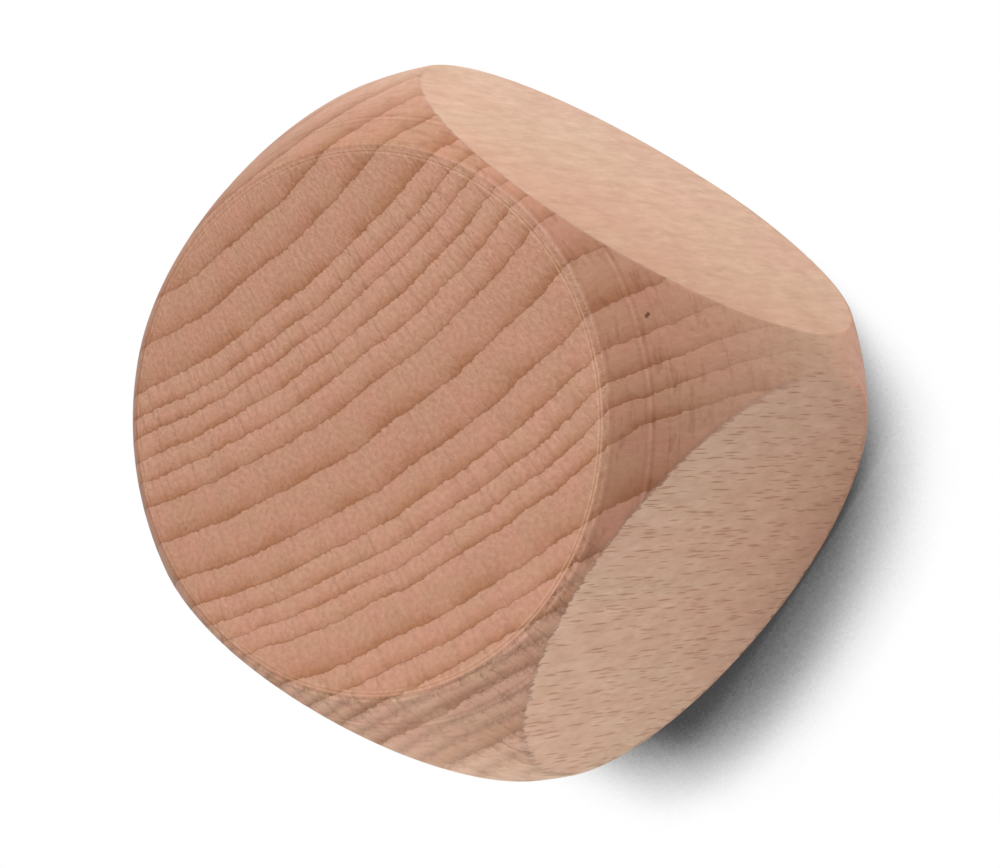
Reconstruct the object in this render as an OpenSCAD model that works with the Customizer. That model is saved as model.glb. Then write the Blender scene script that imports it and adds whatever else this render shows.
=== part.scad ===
// Blank wooden die: one block of beech, parted off a square bar whose corners were turned on a lathe.
// The grain runs along +Z, and the die stands on its lower end-grain face, centred on the origin.

/* [Cube] */
// Distance between opposite flat faces
edge_length = 30; // [26:0.5:38]

/* [Turned corners] */
// Diameter of the turned surface at mid-height, across the rounded long edges
turned_diameter = 40.4; // [37:0.1:42]
// Radius of the arc that the lathe tool follows from one end face to the other
profile_radius = 22.6; // [20:0.1:30]

/* [End rims] */
// How far the narrow land round each end face reaches in from the turned surface
rim_land = 0.2; // [0.1:0.05:1]
// Slope of that land, down from the end face
rim_slope = 24; // [15:1:35]

/* [Hidden] */
$fn = 96;
half_edge = edge_length / 2;
// The bar that the die is parted from is longer than the die
bar_length = 2 * edge_length;
// The arc's centre lies beyond the axis where the arc is larger than the turned diameter
arc_center = turned_diameter / 2 - profile_radius;
// Where the arc would meet an end face if its rim had no land
rim_radius = arc_center + sqrt(pow(profile_radius, 2) - pow(half_edge, 2));

// Section of what the tool takes off a rim: a wedge that slopes down and out from the end face
module rim_wedge() {
    translate([rim_radius - rim_land, half_edge])
        rotate(-rim_slope)
            square([edge_length, edge_length]);
}

// Half section of the turned blank: the tool's arc, cut off square at the end faces, with its rims eased
module turned_section() {
    difference() {
        intersection() {
            translate([arc_center, 0]) circle(r = profile_radius);
            translate([0, -half_edge]) square([turned_diameter, edge_length]);
        }
        rim_wedge();
        mirror([0, 1]) rim_wedge();
    }
}

// The die: what the turned blank and the square bar have in common
module die() {
    color("#C89C80")
        translate([0, 0, half_edge])
            intersection() {
                rotate_extrude() turned_section();
                cube([edge_length, edge_length, bar_length], center = true);
            }
}

die();
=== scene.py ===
import math

import bpy
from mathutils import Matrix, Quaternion, Vector


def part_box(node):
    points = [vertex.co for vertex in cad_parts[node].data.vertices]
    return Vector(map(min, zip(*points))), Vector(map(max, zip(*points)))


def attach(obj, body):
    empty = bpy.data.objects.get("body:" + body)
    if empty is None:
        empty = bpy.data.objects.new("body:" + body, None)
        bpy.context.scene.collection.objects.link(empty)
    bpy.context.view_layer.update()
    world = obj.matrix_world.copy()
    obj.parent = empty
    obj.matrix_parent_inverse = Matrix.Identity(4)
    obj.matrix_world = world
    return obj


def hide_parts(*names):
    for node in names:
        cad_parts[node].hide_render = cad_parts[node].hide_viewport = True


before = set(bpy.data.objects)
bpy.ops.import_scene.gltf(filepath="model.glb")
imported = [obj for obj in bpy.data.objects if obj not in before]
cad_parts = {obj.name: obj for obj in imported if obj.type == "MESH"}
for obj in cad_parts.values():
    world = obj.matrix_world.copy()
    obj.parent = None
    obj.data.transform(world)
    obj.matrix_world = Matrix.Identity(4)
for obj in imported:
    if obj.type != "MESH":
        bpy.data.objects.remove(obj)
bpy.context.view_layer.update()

# The die: one block of bare beech, parted off a square bar and turned on a lathe.
# The lathe has taken away all its edges, so that two round end-grain faces and
# four lens-shaped side faces are left flat between the turned corners.
MM = 0.001
low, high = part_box("die")
half_edge = (high.x - low.x) / 2
mid_height = (low.z + high.z) / 2
turned_radius = 20.2 * MM
arc_radius = 22.6 * MM
arc_center = turned_radius - arc_radius
rim_land = 0.2 * MM
rim_slope = math.radians(24)

# The profile that the lathe turns, from the middle of the upper end face to the middle of the lower one:
# rows close together where the end grain has relief, and round the ring that the tool left near each end.
tip_height = math.sqrt(arc_radius**2 - (half_edge - arc_center) ** 2)
face_radius = arc_center + math.sqrt(arc_radius**2 - half_edge**2) - rim_land
reach = (face_radius - arc_center) * math.cos(rim_slope) - half_edge * math.sin(rim_slope)
short = (face_radius - arc_center) ** 2 + half_edge**2 - arc_radius**2
land_length = -reach + math.sqrt(reach**2 - short)
land_height = half_edge - land_length * math.sin(rim_slope)
tool_ring_height = 13.1 * MM
rim_rows = 4
lens_rows = 40
turned_rows = []
for step in range(rim_rows):
    turned_rows.append(land_height + (tip_height - land_height) * step / rim_rows)
for step in range(lens_rows):
    height = tip_height * math.cos(math.pi / 2 * step / lens_rows)
    if abs(height - tool_ring_height) > 0.4 * MM:
        turned_rows.append(height)
for step in range(-4, 5):
    turned_rows.append(tool_ring_height + step * 0.1 * MM)
turned_rows.sort(reverse=True)
upper_end_rows = 115
lower_end_rows = 55
profile = []
for step in range(1, upper_end_rows + 1):
    if step * face_radius / upper_end_rows < face_radius - 0.4 * MM:
        profile.append((step * face_radius / upper_end_rows, half_edge))
for step in range(8, -1, -1):
    profile.append((face_radius - step * 0.05 * MM, half_edge))
for height in turned_rows + [0.0] + [-height for height in reversed(turned_rows)]:
    profile.append((arc_center + math.sqrt(arc_radius**2 - height**2), height))
for step in range(lower_end_rows, 0, -1):
    profile.append((face_radius * step / lower_end_rows, -half_edge))

# One corner: a flat grid, wrapped round the lathe axis between two side faces. The column next to each
# side face lies close to it, and the edge itself is eased by a touch with fine paper.
columns = 72
eased_edge = 0.15 * MM
edge_pull = 0.03 * MM
bpy.ops.object.select_all(action="DESELECT")
bpy.ops.mesh.primitive_grid_add(x_subdivisions=columns, y_subdivisions=len(profile) - 1, size=2)
die = bpy.context.active_object
die.name = "die_body"
for vertex in die.data.vertices:
    column = round((vertex.co.x + 1) / 2 * columns)
    radius, height = profile[round((1 - vertex.co.y) / 2 * (len(profile) - 1))]
    start = math.acos(min(1.0, half_edge / radius))
    ease = min(eased_edge / radius, math.pi / 2 / columns)
    angle = start + ease + (math.pi / 2 - 2 * (start + ease)) * (column - 1) / (columns - 2)
    if column in (0, columns):
        angle = start if column == 0 else math.pi / 2 - start
        radius -= edge_pull if start > 0 else 0
    vertex.co = (radius * math.cos(angle), radius * math.sin(angle), mid_height + height)

# The other three corners are turned copies. The open loops left between them are the four side faces,
# which get a narrow strip inside their edges, and the pinholes in the middle of the ends.
bpy.ops.object.mode_set(mode="EDIT")
bpy.ops.mesh.select_all(action="SELECT")
bpy.ops.mesh.spin(steps=3, dupli=True, angle=math.radians(270), center=(0, 0, 0), axis=(0, 0, 1))
bpy.ops.mesh.select_all(action="SELECT")
bpy.ops.mesh.remove_doubles(threshold=0.001 * MM)
bpy.ops.mesh.select_mode(type="EDGE")
bpy.ops.mesh.select_all(action="DESELECT")
bpy.ops.mesh.select_non_manifold()
bpy.ops.mesh.fill_holes(sides=0)
bpy.ops.mesh.select_all(action="SELECT")
bpy.ops.mesh.normals_make_consistent(inside=False)
bpy.ops.mesh.select_mode(type="FACE")
bpy.ops.mesh.select_all(action="DESELECT")
bpy.ops.object.mode_set(mode="OBJECT")
for face in die.data.polygons:
    face.select = len(face.vertices) > 4 and abs(face.normal.z) < 0.5
bpy.ops.object.mode_set(mode="EDIT")
bpy.ops.mesh.inset(thickness=eased_edge, use_individual=True)
bpy.ops.object.mode_set(mode="OBJECT")
for face in die.data.polygons:
    if len(face.vertices) > 4 and abs(face.normal.z) < 0.5:
        axis = 0 if abs(face.normal.x) > abs(face.normal.y) else 1
        for index in face.vertices:
            die.data.vertices[index].co[axis] = math.copysign(half_edge, face.normal[axis])
bpy.ops.object.shade_smooth_by_angle(angle=math.radians(20))


# The wood figure: growth rings round a pith outside the die, along +Z. The same nodes give the rings
# their relief, worked into the surface by the lathe and the sander, and later their colours. Its lengths
# are in millimetres, and its pattern scales in turns per millimetre: across, along and up the rings.
def add_node(tree, kind, *values, **settings):
    """Adds a node with its settings; the values go to its inputs in order, as numbers or as links."""
    node = tree.nodes.new(kind)
    for name, setting in settings.items():
        setattr(node, name, setting)
    for socket, value in zip([socket for socket in node.inputs if socket.enabled], values):
        if isinstance(value, bpy.types.Node):
            value = [output for output in value.outputs if output.enabled][0]
        if isinstance(value, bpy.types.NodeSocket):
            tree.links.new(value, socket)
        elif value is not None:
            socket.default_value = value
    return node


pith = (24.0, 52.0)
pith_distance = math.hypot(*pith)
grain_lean = (0.004, 0.08)
ring_fan = -0.0066
ring_taper = 0.16
ring_wander = 0.7
ring_shift = -0.45
count_reach = 23.0
first_ring = -22.3
ring_widths = (
    1.9, 1.7, 1.8, 2.1, 2.3, 2.2, 2.35, 1.3, 1.1, 1.35, 1.3, 1.55, 2.35, 2.45,
    1.7, 1.3, 1.1, 1.15, 2.3, 1.35, 1.35, 1.6, 1.9, 1.4, 1.5, 1.9,
)


def add_figure(tree, place, scallop_depth):
    """Adds the wood's own coordinates at a place given in metres, and which kind of surface is there."""
    scaled = add_node(tree, "ShaderNodeVectorMath", place, 1 / MM, operation="SCALE")
    split = add_node(tree, "ShaderNodeSeparateXYZ", scaled)
    drop = add_node(tree, "ShaderNodeMath", split.outputs["Z"], 2 * mid_height / MM, operation="SUBTRACT")
    # The grain leans a little from the lathe axis.
    x, y = split.outputs["X"], split.outputs["Y"]
    lean_x = add_node(tree, "ShaderNodeMath", drop, grain_lean[0], x, operation="MULTIPLY_ADD")
    lean_y = add_node(tree, "ShaderNodeMath", drop, grain_lean[1], y, operation="MULTIPLY_ADD")
    from_pith_x = add_node(tree, "ShaderNodeMath", lean_x, pith[0], operation="SUBTRACT")
    from_pith_y = add_node(tree, "ShaderNodeMath", pith[1], lean_y, operation="SUBTRACT")
    from_pith = add_node(tree, "ShaderNodeCombineXYZ", from_pith_x, from_pith_y, 0.0)
    radius = add_node(tree, "ShaderNodeVectorMath", from_pith, operation="LENGTH")
    bearing = add_node(tree, "ShaderNodeMath", from_pith_x, from_pith_y, operation="ARCTAN2")
    turn = add_node(tree, "ShaderNodeMath", math.atan2(-pith[0], pith[1]), bearing, operation="SUBTRACT")
    arc = add_node(tree, "ShaderNodeMath", turn, pith_distance, operation="MULTIPLY")
    fan = add_node(tree, "ShaderNodeMath", arc, ring_fan, 1.0, operation="MULTIPLY_ADD")
    outward = add_node(tree, "ShaderNodeMath", radius, pith_distance, operation="SUBTRACT")
    outward = add_node(tree, "ShaderNodeMath", outward, fan, operation="DIVIDE")
    grain = add_node(tree, "ShaderNodeCombineXYZ", outward, arc, drop)

    # The rings wander by two tenths of a millimetre, and their edges are finely scalloped.
    stretched = add_node(tree, "ShaderNodeVectorMath", grain, (0.10, 0.22, 0.03), operation="MULTIPLY")
    wander = add_node(tree, "ShaderNodeTexNoise", stretched, 1.0, 1.0, 0.5).outputs[0]
    stretched = add_node(tree, "ShaderNodeVectorMath", grain, (0.3, 2.0, 0.2), operation="MULTIPLY")
    scallop = add_node(tree, "ShaderNodeTexNoise", stretched, 1.0, 4.0, 0.72)
    scallop = add_node(tree, "ShaderNodeMath", scallop.outputs[0], 0.5, operation="SUBTRACT")
    tapered = add_node(tree, "ShaderNodeMath", drop, ring_taper, outward, operation="MULTIPLY_ADD")
    moved = add_node(tree, "ShaderNodeMath", wander, ring_wander, tapered, operation="MULTIPLY_ADD")
    moved = add_node(tree, "ShaderNodeMath", scallop, scallop_depth, moved, operation="MULTIPLY_ADD")
    moved = add_node(tree, "ShaderNodeMath", moved, count_reach + ring_shift, operation="ADD")
    moved = add_node(tree, "ShaderNodeMath", moved, 2 * count_reach, operation="DIVIDE")

    # A curve counts the rings, from one edge to the next; a place's share of its ring is what is left over.
    count = add_node(tree, "ShaderNodeFloatCurve", 1.0, moved)
    edge = first_ring
    most = len(ring_widths) + 2.0
    for number, width in enumerate(ring_widths + (0.0,)):
        count.mapping.curves[0].points.new((edge + count_reach) / (2 * count_reach), (number + 1) / most)
        edge += width
    for point in count.mapping.curves[0].points:
        point.handle_type = "VECTOR"
    count.mapping.update()
    number = add_node(tree, "ShaderNodeMath", count, most, operation="MULTIPLY")
    share = add_node(tree, "ShaderNodeMath", number, operation="FRACT")

    # Height from mid-height, and how far the place lies inside the turned surface.
    level = add_node(tree, "ShaderNodeMath", split.outputs["Z"], mid_height / MM, operation="SUBTRACT")
    level = add_node(tree, "ShaderNodeMath", level, operation="ABSOLUTE")
    square = add_node(tree, "ShaderNodeMath", level, level, operation="MULTIPLY")
    square = add_node(tree, "ShaderNodeMath", (arc_radius / MM) ** 2, square, operation="SUBTRACT")
    bulge = add_node(tree, "ShaderNodeMath", square, operation="SQRT")
    flat = add_node(tree, "ShaderNodeCombineXYZ", x, y, 0.0)
    girth = add_node(tree, "ShaderNodeVectorMath", flat, operation="LENGTH")
    inside = add_node(tree, "ShaderNodeMath", bulge, girth, operation="SUBTRACT")
    inside = add_node(tree, "ShaderNodeMath", inside, arc_center / MM, operation="ADD")
    return {
        "scaled": scaled, "from_pith": from_pith, "grain": grain,
        "outward": outward, "arc": arc, "drop": drop,
        "scallop": scallop, "tapered": tapered, "moved": moved, "number": number, "share": share,
        "level": level, "girth": girth, "inside": inside,
    }


def add_line(tree, value, middle, reach):
    """Adds a soft line: one where the value is at the middle, falling to nothing at its reach."""
    offset = add_node(tree, "ShaderNodeMath", value, middle, operation="SUBTRACT")
    offset = add_node(tree, "ShaderNodeMath", offset, operation="ABSOLUTE")
    return add_node(tree, "ShaderNodeMapRange", offset, 0.0, reach, 1.0, 0.0, interpolation_type="SMOOTHSTEP")


# Relief: the dense late wood of each ring stands a hundredth or two of a millimetre proud of the early
# wood, most on the end faces. The tool has left a ring below each rim, with a groove on both sides, and
# a groove round each end face; each has a height from mid-height or a distance from the axis, and a reach.
relief_depth = 0.016 * MM
groove_depth = 0.009 * MM
turned_relief = 0.2
tool_grooves = ((12.87, 0.22), (13.36, 0.2))
rim_groove = (14.14, 0.1)
tree = bpy.data.node_groups.new("ring_relief", "GeometryNodeTree")
tree.interface.new_socket("Geometry", in_out="INPUT", socket_type="NodeSocketGeometry")
tree.interface.new_socket("Geometry", in_out="OUTPUT", socket_type="NodeSocketGeometry")
shape_in = add_node(tree, "NodeGroupInput")
figure = add_figure(tree, add_node(tree, "GeometryNodeInputPosition"), 0.0)
on_end = add_node(tree, "ShaderNodeMapRange", figure["level"], 14.98, 14.99, interpolation_type="SMOOTHSTEP")
off_rim = add_node(tree, "ShaderNodeMapRange", figure["girth"], 14.1, 13.5, interpolation_type="SMOOTHSTEP")
off_rim = add_node(tree, "ShaderNodeMath", off_rim, on_end, operation="MULTIPLY")
on_turned = add_node(
    tree, "ShaderNodeMapRange", figure["inside"], 0.06, 0.04, interpolation_type="SMOOTHSTEP")
tilt = add_node(tree, "ShaderNodeMapRange", figure["level"], 5.0, 15.0, interpolation_type="SMOOTHSTEP")
strength = add_node(tree, "ShaderNodeMath", on_turned, tilt, operation="MULTIPLY")
strength = add_node(tree, "ShaderNodeMath", strength, turned_relief, operation="MULTIPLY")
strength = add_node(tree, "ShaderNodeMath", strength, off_rim, operation="MAXIMUM")
rise = add_node(tree, "ShaderNodeMath", figure["share"], 1.5, operation="POWER")
fall = add_node(tree, "ShaderNodeMapRange", figure["share"], 1.0, 0.86, interpolation_type="SMOOTHSTEP")
proud = add_node(tree, "ShaderNodeMath", rise, fall, operation="MULTIPLY")
proud = add_node(tree, "ShaderNodeMath", proud, 1.0, operation="SUBTRACT")
proud = add_node(tree, "ShaderNodeMath", proud, relief_depth, operation="MULTIPLY")
depth = add_node(tree, "ShaderNodeMath", proud, strength, operation="MULTIPLY")
for middle, reach in tool_grooves:
    groove = add_line(tree, figure["level"], middle, reach)
    groove = add_node(tree, "ShaderNodeMath", groove, on_turned, operation="MULTIPLY")
    depth = add_node(tree, "ShaderNodeMath", groove, -groove_depth, depth, operation="MULTIPLY_ADD")
groove = add_line(tree, figure["girth"], *rim_groove)
groove = add_node(tree, "ShaderNodeMath", groove, on_end, operation="MULTIPLY")
depth = add_node(tree, "ShaderNodeMath", groove, -groove_depth, depth, operation="MULTIPLY_ADD")
normal = add_node(tree, "GeometryNodeInputNormal")
offset = add_node(tree, "ShaderNodeVectorMath", normal, depth, operation="SCALE")
moved = add_node(tree, "GeometryNodeSetPosition", shape_in, None, None, offset)
add_node(tree, "NodeGroupOutput", moved)
relief = die.modifiers.new("ring_relief", "NODES")
relief.node_group = tree
bpy.ops.object.modifier_apply(modifier="ring_relief")


def colour(code):
    """Turns an sRGB hex code into a linear colour."""
    parts = [int(code[place:place + 2], 16) / 255 for place in (1, 3, 5)]
    linear = [part / 12.92 if part <= 0.04045 else ((part + 0.055) / 1.055) ** 2.4 for part in parts]
    return (*linear, 1.0)


# Bare beech, sanded and not varnished: pinkish brown, darker on end grain, where late wood closes each
# ring with a thin dark line; on the sides short dark ray dashes lie on a paler cream and pink ground.
beech = bpy.data.materials.new("bare_beech")
beech.use_nodes = True
tree = beech.node_tree
shader = tree.nodes["Principled BSDF"]
scallop_depth = 0.5
coordinates = add_node(tree, "ShaderNodeTexCoord")
figure = add_figure(tree, coordinates.outputs["Object"], scallop_depth)
share = figure["share"]
split = add_node(tree, "ShaderNodeSeparateXYZ", figure["scaled"])
along = add_node(tree, "ShaderNodeMath", split.outputs["X"], split.outputs["Y"], operation="SUBTRACT")
across = add_node(tree, "ShaderNodeMath", split.outputs["X"], split.outputs["Y"], operation="ADD")

# Roughness and IOR are those of sanded bare wood, the same all over.
shader.inputs["Roughness"].default_value = 0.5
shader.inputs["IOR"].default_value = 1.5

# How squarely the surface faces the pith, where rays show as dashes; elsewhere they are faint flecks.
normal = coordinates.outputs["Normal"]
normal = add_node(tree, "ShaderNodeVectorMath", normal, (1, -1, 0), operation="MULTIPLY")
radial = add_node(tree, "ShaderNodeVectorMath", figure["from_pith"], operation="NORMALIZE")
facing = add_node(tree, "ShaderNodeVectorMath", normal, radial, operation="DOT_PRODUCT")
facing = add_node(tree, "ShaderNodeMath", facing, operation="ABSOLUTE")

# Which surface: an end face, the turned surface, or a side, where the turned look ends in short teeth.
tooth_length = 1.3
stretched = add_node(tree, "ShaderNodeVectorMath", figure["grain"], (3.6, 3.6, 0.5), operation="MULTIPLY")
fray = add_node(tree, "ShaderNodeTexNoise", stretched, 1.0, 2.0, 0.6)
teeth = add_node(tree, "ShaderNodeMath", fray.outputs[0], 0.42, operation="SUBTRACT", use_clamp=True)
teeth = add_node(tree, "ShaderNodeMath", teeth, facing, operation="MULTIPLY")
frayed = add_node(tree, "ShaderNodeMath", teeth, -tooth_length, figure["inside"], operation="MULTIPLY_ADD")
on_end = add_node(tree, "ShaderNodeMapRange", figure["level"], 14.84, 14.93, interpolation_type="SMOOTHSTEP")
on_turned = add_node(tree, "ShaderNodeMapRange", frayed, 0.2, 0.0, interpolation_type="SMOOTHSTEP")
tilt = add_node(tree, "ShaderNodeMapRange", figure["level"], 0.0, 13.0, 0.0, 1.0)
end_share = add_node(tree, "ShaderNodeMath", on_turned, tilt, operation="MULTIPLY")
end_share = add_node(tree, "ShaderNodeMath", end_share, on_end, operation="MAXIMUM")
burnished = add_node(tree, "ShaderNodeMath", end_share, on_end, operation="SUBTRACT")

# End grain: each ring goes from pale early wood to brown late wood and ends in a thin dark line. Blotches
# and patches a few millimetres wide vary the two, and a speckle finer than that stands for the pores.
stretched = add_node(tree, "ShaderNodeVectorMath", figure["grain"], (0.45, 0.45, 0.1), operation="MULTIPLY")
blotch = add_node(tree, "ShaderNodeTexNoise", stretched, 1.0, 2.0, 0.6)
blotch = add_node(tree, "ShaderNodeMapRange", blotch.outputs[0], 0.35, 0.65, interpolation_type="SMOOTHSTEP")
early = add_node(tree, "ShaderNodeMix", blotch, colour("#BD8D71"), colour("#C18A72"), data_type="RGBA")
late = add_node(tree, "ShaderNodeMath", share, 3.0, operation="POWER")
stretched = add_node(tree, "ShaderNodeVectorMath", figure["grain"], (0.3, 0.3, 0.1), operation="MULTIPLY")
patch = add_node(tree, "ShaderNodeTexNoise", stretched, 1.0, 2.0, 0.6)
patch = add_node(tree, "ShaderNodeMapRange", patch.outputs[0], 0.36, 0.64, interpolation_type="SMOOTHSTEP")
uneven = add_node(tree, "ShaderNodeMath", patch, 0.7, 0.6, operation="MULTIPLY_ADD")
late = add_node(tree, "ShaderNodeMath", late, uneven, operation="MULTIPLY")
end_colour = add_node(tree, "ShaderNodeMix", late, early, colour("#A56C49"), data_type="RGBA")
stretched = add_node(tree, "ShaderNodeVectorMath", figure["grain"], (3.4, 3.6, 0.6), operation="MULTIPLY")
speckle = add_node(tree, "ShaderNodeTexNoise", stretched, 1.0, 3.0, 0.6)
line = add_node(tree, "ShaderNodeMapRange", share, 0.91, 0.985, interpolation_type="SMOOTHSTEP")
faint = add_node(tree, "ShaderNodeMath", burnished, -0.14, 0.28, operation="MULTIPLY_ADD")
line = add_node(tree, "ShaderNodeMath", line, faint, operation="MULTIPLY")
end_colour = add_node(tree, "ShaderNodeMix", line, end_colour, colour("#7E5038"), data_type="RGBA")

# Side grain: broad soft bands of cream and pink along the grain, with fibres and smudges that sway a little.
stretched = add_node(tree, "ShaderNodeVectorMath", figure["grain"], (0.28, 0.45, 0.07), operation="MULTIPLY")
bands = add_node(tree, "ShaderNodeTexNoise", stretched, 1.0, 1.0, 0.5)
bands = add_node(tree, "ShaderNodeMapRange", bands.outputs[0], 0.36, 0.64, interpolation_type="SMOOTHSTEP")
side_colour = add_node(tree, "ShaderNodeMix", bands, colour("#DBAF8F"), colour("#DDAC8E"), data_type="RGBA")
stretched = add_node(tree, "ShaderNodeVectorMath", figure["grain"], (0.3, 0.3, 0.3), operation="MULTIPLY")
sway = add_node(tree, "ShaderNodeTexNoise", stretched, 1.0, 1.0, 0.5).outputs["Color"]
sway = add_node(tree, "ShaderNodeVectorMath", sway, (0.7, 0.7, 0.0), operation="MULTIPLY")
swayed = add_node(tree, "ShaderNodeVectorMath", figure["grain"], sway, operation="ADD")
stretched = add_node(tree, "ShaderNodeVectorMath", swayed, (1.3, 1.3, 0.12), operation="MULTIPLY")
fibre = add_node(tree, "ShaderNodeTexNoise", stretched, 1.0, 3.0, 0.6)
stretched = add_node(tree, "ShaderNodeVectorMath", swayed, (1.8, 1.8, 0.4), operation="MULTIPLY")
smudge = add_node(tree, "ShaderNodeTexNoise", stretched, 1.0, 3.0, 0.65)

# Rays: small upright spindles between the fibres, which the sides cut into dashes and flecks. Three sizes,
# each with its spacing and its half size along the rings, across them and along the grain.
ray_kinds = (
    ((0.52, 0.3, 2.1), (0.05, 0.15, 1.1)),
    ((0.66, 0.33, 2.6), (0.06, 0.17, 1.6)),
    ((0.8, 0.37, 3.2), (0.05, 0.18, 2.0)),
)
rays = None
ordered = add_node(tree, "ShaderNodeCombineXYZ", figure["arc"], figure["outward"], figure["drop"])
for spacing, half_size in ray_kinds:
    celled = add_node(tree, "ShaderNodeVectorMath", ordered, spacing, operation="DIVIDE")
    cells = add_node(tree, "ShaderNodeTexVoronoi", celled, 1.0)
    offset = add_node(tree, "ShaderNodeVectorMath", celled, cells.outputs["Position"], operation="SUBTRACT")
    stretch = [width / size for width, size in zip(spacing, half_size)]
    offset = add_node(tree, "ShaderNodeVectorMath", offset, stretch, operation="MULTIPLY")
    distance = add_node(tree, "ShaderNodeVectorMath", offset, operation="LENGTH")
    ray = add_node(tree, "ShaderNodeMapRange", distance, 1.0, 0.3, interpolation_type="SMOOTHSTEP")
    rays = ray if rays is None else add_node(tree, "ShaderNodeMath", rays, ray, operation="MAXIMUM")
clear = add_node(tree, "ShaderNodeMath", facing, facing, operation="MULTIPLY")
clear = add_node(tree, "ShaderNodeMath", clear, 0.58, 0.08, operation="MULTIPLY_ADD")
rays = add_node(tree, "ShaderNodeMath", rays, clear, operation="MULTIPLY")
wood = add_node(tree, "ShaderNodeMix", end_share, side_colour, end_colour, data_type="RGBA")
off_end = add_node(tree, "ShaderNodeMath", 1.0, end_share, operation="SUBTRACT")
rays = add_node(tree, "ShaderNodeMath", rays, off_end, operation="MULTIPLY")
wood = add_node(tree, "ShaderNodeMix", rays, wood, colour("#A75D2C"), data_type="RGBA")

# Fine tone: speckle, flecks and creases on end grain, fibres and smudges on the sides. Narrow rings are
# paler, and swell between fine creases that cross them, like rows of small pillows.
widest_narrow = 1.9
narrow_span = 0.6
crease_scale = 2.6
narrow = add_node(tree, "ShaderNodeFloatCurve", 1.0, figure["moved"])
edge = first_ring
for width in ring_widths:
    closeness = min(1.0, max(0.0, (widest_narrow - width) / narrow_span))
    middle = edge + width / 2
    narrow.mapping.curves[0].points.new((middle + count_reach) / (2 * count_reach), closeness)
    edge += width
narrow.mapping.curves[0].points[0].location = (0.0, 0.0)
narrow.mapping.curves[0].points[-1].location = (1.0, 0.0)
narrow.mapping.update()
ring = add_node(tree, "ShaderNodeMath", figure["number"], operation="FLOOR")
ring = add_node(tree, "ShaderNodeMath", ring, 3.1, operation="MULTIPLY")
wobble = add_node(
    tree, "ShaderNodeMath", figure["arc"], crease_scale, speckle.outputs[0], operation="MULTIPLY_ADD")
crease = add_node(tree, "ShaderNodeCombineXYZ", wobble, ring, 0.0)
crease = add_node(tree, "ShaderNodeTexNoise", crease, 1.0, 1.0, 0.5)
crease = add_node(tree, "ShaderNodeMapRange", crease.outputs[0], 0.5, 0.32, interpolation_type="SMOOTHSTEP")
creased = add_node(tree, "ShaderNodeMath", narrow, 0.7, 0.3, operation="MULTIPLY_ADD")
crease = add_node(tree, "ShaderNodeMath", crease, creased, operation="MULTIPLY")
tone_end = add_node(tree, "ShaderNodeMath", speckle.outputs[0], 0.58, 0.695, operation="MULTIPLY_ADD")
tone_end = add_node(tree, "ShaderNodeMath", narrow, 0.06, tone_end, operation="MULTIPLY_ADD")
# The creases darken the end grain a little: painted shade in them, besides their bump.
tone_end = add_node(tree, "ShaderNodeMath", crease, -0.04, tone_end, operation="MULTIPLY_ADD")
tone_end = add_node(tree, "ShaderNodeMath", figure["scallop"], 0.16, tone_end, operation="MULTIPLY_ADD")
tone_side = add_node(tree, "ShaderNodeMath", fibre.outputs[0], 0.12, 0.72, operation="MULTIPLY_ADD")
tone_side = add_node(tree, "ShaderNodeMath", smudge.outputs[0], 0.44, tone_side, operation="MULTIPLY_ADD")

# Painted shade on the sides: they darken slowly towards the corner between +X and -Y. Where they face the
# pith squarely, they also darken towards the floor below mid-height and lighten above it, more so towards +X.
painted_side_shade = add_node(tree, "ShaderNodeMapRange", along, 4.0, 26.0, 1.065, 0.93)
tone_side = add_node(tree, "ShaderNodeMath", tone_side, painted_side_shade, operation="MULTIPLY")
painted_floor_shade = add_node(tree, "ShaderNodeMapRange", split.outputs["X"], -9.0, 9.0, 0.0, 0.0207)
height = add_node(tree, "ShaderNodeMath", split.outputs["Z"], mid_height / MM, operation="SUBTRACT")
painted_floor_shade = add_node(tree, "ShaderNodeMath", painted_floor_shade, height, operation="MULTIPLY")
squarely = add_node(tree, "ShaderNodeMath", facing, 0.4, operation="SUBTRACT")
painted_floor_shade = add_node(tree, "ShaderNodeMath", painted_floor_shade, squarely, 1.0, operation="MULTIPLY_ADD")
tone_side = add_node(tree, "ShaderNodeMath", tone_side, painted_floor_shade, operation="MULTIPLY")
calm = add_node(tree, "ShaderNodeMath", burnished, 0.5, operation="MULTIPLY")
tone_end = add_node(tree, "ShaderNodeMix", calm, tone_end, 0.975, data_type="FLOAT")
tone = add_node(tree, "ShaderNodeMix", end_share, tone_side, tone_end, data_type="FLOAT")

# One small dark speck lies on the turned corner.
speck_ends = ((13.37, -9.67, 27.47), (13.2, -9.65, 27.53))
for center in speck_ends:
    speck = add_node(tree, "ShaderNodeVectorMath", figure["scaled"], center, operation="DISTANCE")
    speck = add_node(tree, "ShaderNodeMapRange", speck, 0.16, 0.06, interpolation_type="SMOOTHSTEP")
    wood = add_node(tree, "ShaderNodeMix", speck, wood, colour("#6A3F2C"), data_type="RGBA")

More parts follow.
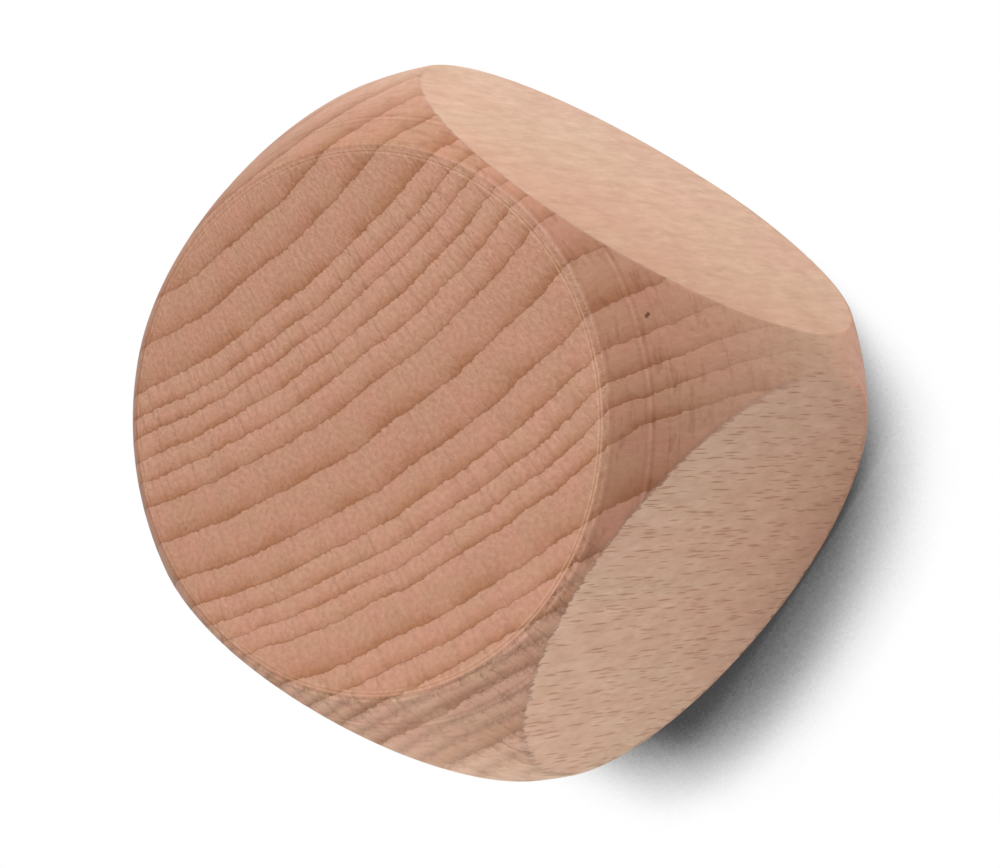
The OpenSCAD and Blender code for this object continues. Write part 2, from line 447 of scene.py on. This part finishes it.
# The turned surface is burnished a little darker by the tool, with short ticks that run round it. The tool's
# marks
# are changes of tone: the darker ones are painted shade along its grooves and fine lines, the lighter one is
# a painted highlight on the ridge between two grooves. Each has a height from mid-height or a distance from
# the axis, a reach and a change of tone.
tool_mark_shade_and_highlight = (
    ("level", 11.7, 0.08, -0.07), ("level", 12.2, 0.1, -0.08), ("level", 12.94, 0.12, -0.12),
    ("level", 13.12, 0.09, 0.12), ("level", 13.3, 0.1, -0.09), ("level", 14.72, 0.1, -0.08),
    ("girth", 14.14, 0.06, -0.12), ("girth", 14.4, 0.16, -0.15),
)
wood = add_node(
    tree, "ShaderNodeMix", burnished, wood, colour("#FBF7F5"), data_type="RGBA", blend_type="MULTIPLY")
stretched = add_node(tree, "ShaderNodeVectorMath", figure["scaled"], (0.65, 0.65, 2.4), operation="MULTIPLY")
ticks = add_node(tree, "ShaderNodeTexNoise", stretched, 1.0, 2.0, 0.6)
ticks = add_node(tree, "ShaderNodeMapRange", ticks.outputs[0], 0.47, 0.33, interpolation_type="SMOOTHSTEP")
ticks = add_node(tree, "ShaderNodeMath", ticks, burnished, operation="MULTIPLY")
ticks = add_node(tree, "ShaderNodeMath", ticks, -0.15, 1.0, operation="MULTIPLY_ADD")
tone = add_node(tree, "ShaderNodeMath", tone, ticks, operation="MULTIPLY")
# Painted shade where the change of tone is below zero, painted highlight where it is above.
for value, middle, reach, gain in tool_mark_shade_and_highlight:
    where = on_turned if value == "level" else on_end
    mark = add_line(tree, figure[value], middle, reach)
    mark = add_node(tree, "ShaderNodeMath", mark, where, operation="MULTIPLY")
    mark = add_node(tree, "ShaderNodeMath", mark, gain, 1.0, operation="MULTIPLY_ADD")
    tone = add_node(tree, "ShaderNodeMath", tone, mark, operation="MULTIPLY")

# Two thin cream lines run along the rim of each end face, clearest towards the corner between +X and -Y: the
# rim's burnished ridges, partly paler in their own tone and partly a painted highlight where the light
# catches them.
rim_ridge_highlights = (14.05, 14.23)
rim_line_reach = 0.08
highlight_shown = add_node(tree, "ShaderNodeMapRange", along, -16.0, 14.0, 0.08, 0.3)
highlight_shown = add_node(tree, "ShaderNodeMath", highlight_shown, on_end, operation="MULTIPLY")
for middle in rim_ridge_highlights:
    mark = add_line(tree, figure["girth"], middle, rim_line_reach)
    mark = add_node(tree, "ShaderNodeMath", mark, highlight_shown, operation="MULTIPLY")
    wood = add_node(tree, "ShaderNodeMix", mark, wood, colour("#DDB48F"), data_type="RGBA")

# Where the tool met the grain from below, at one corner, it has left ripples along the rings.
ripple_spacing = 0.7
rippled = add_node(tree, "ShaderNodeMapRange", across, -8.0, -18.0, interpolation_type="SMOOTHSTEP")
rippled = add_node(tree, "ShaderNodeMath", rippled, on_turned, operation="MULTIPLY")
wavy = add_node(tree, "ShaderNodeMath", speckle.outputs[0], 0.4, figure["tapered"], operation="MULTIPLY_ADD")
ripple = add_node(tree, "ShaderNodeMath", wavy, math.pi / ripple_spacing, operation="MULTIPLY")
ripple = add_node(tree, "ShaderNodeMath", ripple, operation="SINE")
ripple = add_node(tree, "ShaderNodeMath", ripple, operation="ABSOLUTE")
ripple = add_node(tree, "ShaderNodeMath", crease, -0.6, ripple, operation="MULTIPLY_ADD")
ripple = add_node(tree, "ShaderNodeMath", ripple, 0.55, operation="SUBTRACT")
ripple = add_node(tree, "ShaderNodeMath", ripple, rippled, operation="MULTIPLY")
# The ripples' tone rises and falls with them: painted light and shade on their slopes, besides their bump.
shaded = add_node(tree, "ShaderNodeMath", ripple, 0.18, 1.0, operation="MULTIPLY_ADD")
tone = add_node(tree, "ShaderNodeMath", tone, shaded, operation="MULTIPLY")

# Where the tone falls, green and blue fall more than red, so that darker wood is also warmer.
warmth = add_node(tree, "ShaderNodeMapRange", end_share, 0.0, 1.0, 1.7, 1.25)
tone_green = add_node(tree, "ShaderNodeMath", tone, warmth, operation="POWER")
warmth = add_node(tree, "ShaderNodeMapRange", end_share, 0.0, 1.0, 2.1, 1.5)
tone_blue = add_node(tree, "ShaderNodeMath", tone, warmth, operation="POWER")
tone = add_node(tree, "ShaderNodeCombineXYZ", tone, tone_green, tone_blue)
wood = add_node(tree, "ShaderNodeVectorMath", wood, tone, operation="MULTIPLY")

# Painted light on the turned corners: the one between +X and +Y is lightened, a painted highlight where light
# and sheen catch it. The one across from it is made tan and paler, partly the wood's colour and partly
# painted sheen. The one between +X and -Y is lightened and made pinker towards and below mid-height, painted
# light thrown up from the floor.
floor_bounce_side = add_node(tree, "ShaderNodeMapRange", along, 24.5, 28.0, interpolation_type="SMOOTHSTEP")
below = add_node(tree, "ShaderNodeMapRange", split.outputs["Z"], 17.0, 11.0, interpolation_type="SMOOTHSTEP")
below = add_node(tree, "ShaderNodeMath", below, on_turned, operation="MULTIPLY")
sheen_lit_corner = add_node(tree, "ShaderNodeMapRange", across, 8.0, 20.0, interpolation_type="SMOOTHSTEP")
tan_and_sheen_corner = add_node(tree, "ShaderNodeMapRange", across, -8.0, -20.0, interpolation_type="SMOOTHSTEP")
for near, where, tint in (
    (sheen_lit_corner, on_turned, (0.12, 0.15, 0.13)),
    (tan_and_sheen_corner, on_turned, (0.02, 0.15, 0.18)),
    (floor_bounce_side, below, (0.25, 0.14, 0.13)),
):
    mask = add_node(tree, "ShaderNodeMath", near, where, operation="MULTIPLY")
    gain = add_node(tree, "ShaderNodeVectorMath", tint, mask, operation="SCALE")
    wood = add_node(tree, "ShaderNodeVectorMath", wood, gain, wood, operation="MULTIPLY_ADD")
tree.links.new(wood.outputs[0], shader.inputs["Base Color"])

# Fine relief that is too small for the mesh: pores, creases, the swell of narrow rings, and the ripples.
bump_depth = 0.06 * MM
bump_strength = 0.7
swell = add_node(tree, "ShaderNodeMath", 1.0, share, operation="SUBTRACT")
swell = add_node(tree, "ShaderNodeMath", swell, share, operation="MULTIPLY")
swell = add_node(tree, "ShaderNodeMath", swell, narrow, operation="MULTIPLY")
fuzz = add_node(tree, "ShaderNodeMath", swell, 5.0, operation="MULTIPLY")
fuzz = add_node(tree, "ShaderNodeMath", speckle.outputs[0], 2.6, fuzz, operation="MULTIPLY_ADD")
fuzz = add_node(tree, "ShaderNodeMath", crease, -1.1, fuzz, operation="MULTIPLY_ADD")
fuzz = add_node(tree, "ShaderNodeMath", figure["scallop"], 1.2, fuzz, operation="MULTIPLY_ADD")
rough = add_node(tree, "ShaderNodeMath", end_share, calm, operation="SUBTRACT")
plain = add_node(tree, "ShaderNodeMath", 1.0, rippled, operation="SUBTRACT")
rough = add_node(tree, "ShaderNodeMath", rough, plain, operation="MULTIPLY")
fuzz = add_node(tree, "ShaderNodeMath", fuzz, rough, operation="MULTIPLY")
fuzz = add_node(tree, "ShaderNodeMath", ripple, 3.4, fuzz, operation="MULTIPLY_ADD")
bump = add_node(tree, "ShaderNodeBump")
bump.inputs["Strength"].default_value = bump_strength
bump.inputs["Distance"].default_value = bump_depth
tree.links.new(fuzz.outputs[0], bump.inputs["Height"])
tree.links.new(bump.outputs[0], shader.inputs["Normal"])

die.data.materials.append(beech)
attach(die, "root")
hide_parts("die")

# The floor: a plain sheet of white paper that the die stands on. The camera sees it as a pure white glow with
# a painted shadow, dark where the die hides much of the sky on the side of shadow_side within shadow_reach;
# the shadows that the lamps cast on it are not seen.
shadow_side = (0.6, 0.58, 0.55)
shadow_reach = 10 * MM
shadow_dark = 0.06
paper_white = 0.9
bpy.ops.object.select_all(action="DESELECT")
bpy.ops.mesh.primitive_plane_add(size=4.0)
floor = bpy.context.active_object
floor.name = "floor"
paper = bpy.data.materials.new("white_paper")
paper.use_nodes = True
tree = paper.node_tree
tree.nodes["Principled BSDF"].inputs["Base Color"].default_value = (paper_white, paper_white, paper_white, 1)
tree.nodes["Principled BSDF"].inputs["Roughness"].default_value = 0.9
towards = add_node(tree, "ShaderNodeCombineXYZ", *shadow_side)
contact = add_node(tree, "ShaderNodeAmbientOcclusion", (1, 1, 1, 1), shadow_reach, towards, samples=16)
open_sky = contact.outputs["AO"]
level = add_node(
    tree, "ShaderNodeMapRange", open_sky, 0.42, 0.74, shadow_dark, 1.0, interpolation_type="SMOOTHSTEP")
# What the camera sees: a white glow, darkened as a painted shadow near the die.
painted_shadow_glow = add_node(tree, "ShaderNodeEmission", (1, 1, 1, 1), level)
path = add_node(tree, "ShaderNodeLightPath")
surface = add_node(
    tree, "ShaderNodeMixShader", path.outputs["Is Camera Ray"], tree.nodes["Principled BSDF"], painted_shadow_glow)
tree.links.new(surface.outputs[0], tree.nodes["Material Output"].inputs["Surface"])
floor.data.materials.append(paper)

# Light: an even white room, a broad soft lamp above the upper end face on the side of +X, and a weaker,
# nearer one that fills the corner between -X and -Y.
room_level = 0.4
world = bpy.data.worlds.new("studio")
bpy.context.scene.world = world
world.use_nodes = True
world.node_tree.nodes["Background"].inputs["Color"].default_value = (1, 1, 1, 1)
world.node_tree.nodes["Background"].inputs["Strength"].default_value = room_level
key_level = 0.635
key_distance = 0.25
key_direction = Vector((0.31, 0.15, 0.43)).normalized()
key_place = Vector((0, 0, mid_height)) + key_direction * key_distance
bpy.ops.object.light_add(type="AREA", location=key_place)
key = bpy.context.active_object
key.name = "soft_lamp"
key.data.shape = "DISK"
key.data.size = 0.1
key.data.energy = key_level * math.pi**2 * key_distance**2
key.rotation_mode = "QUATERNION"
key.rotation_quaternion = (-key_direction).to_track_quat("-Z", "Y")
fill_level = 0.37
fill_distance = 0.06
fill_direction = Vector((-0.7, -0.45, 0.55)).normalized()
fill_place = Vector((0, 0, mid_height)) + fill_direction * fill_distance
bpy.ops.object.light_add(type="AREA", location=fill_place)
fill = bpy.context.active_object
fill.name = "fill_lamp"
fill.data.shape = "DISK"
fill.data.size = 0.05
fill.data.energy = fill_level * math.pi**2 * fill_distance**2
fill.rotation_mode = "QUATERNION"
fill.rotation_quaternion = (-fill_direction).to_track_quat("-Z", "Y")
bpy.context.scene.view_settings.view_transform = "Standard"

# Camera: a long lens above the die, turned on its side, at the place that gives the photograph's view.
camera_place = Vector((51.18 * MM, -72.01 * MM, 170.04 * MM))
camera_aim = Vector((-0.72 * MM, -0.27 * MM, 15.0 * MM))
camera_roll = math.radians(-91.14)
focal_length = 114.32
bpy.ops.object.camera_add(location=camera_place)
camera = bpy.context.active_object
camera.data.lens = focal_length
camera.data.sensor_width = 36.0
camera.data.clip_start = 0.01
camera.rotation_mode = "QUATERNION"
look = (camera_aim - camera_place).to_track_quat("-Z", "Y")
camera.rotation_quaternion = look @ Quaternion((0, 0, 1), camera_roll)
bpy.context.scene.camera = camera
